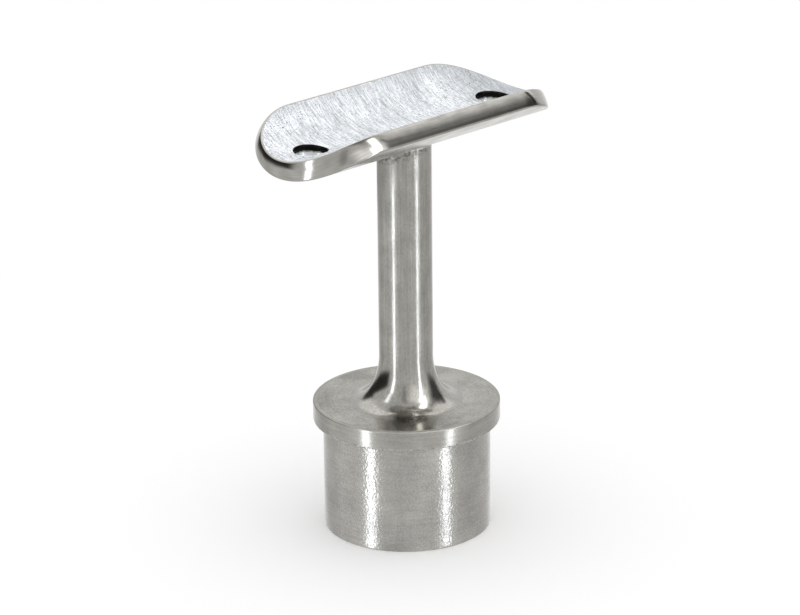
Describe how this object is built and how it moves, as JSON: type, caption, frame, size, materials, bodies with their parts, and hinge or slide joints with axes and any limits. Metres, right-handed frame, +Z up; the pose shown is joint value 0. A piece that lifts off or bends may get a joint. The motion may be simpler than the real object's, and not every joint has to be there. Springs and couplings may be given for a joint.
{
  "type": "handrail saddle",
  "caption": "Stainless handrail saddle: a spigot plugs into a round post, and a curved plate on a stem carries a round rail, with holes for screws.",
  "frame": {"origin": "on the post's axis at the seat, where the flange's underside meets the post's end", "axes": "+Z up along the post towards the rail, +X along the rail, +Y across it"},
  "size_m": [0.0744, 0.0424, 0.1008],
  "materials": {
    "stainless_casting": "satin stainless casting: turned and brushed outside, as cast in the trough"
  },
  "bodies": {
    "root": {"saddle_casting": "stainless_casting"}
  },
  "joints": []
}
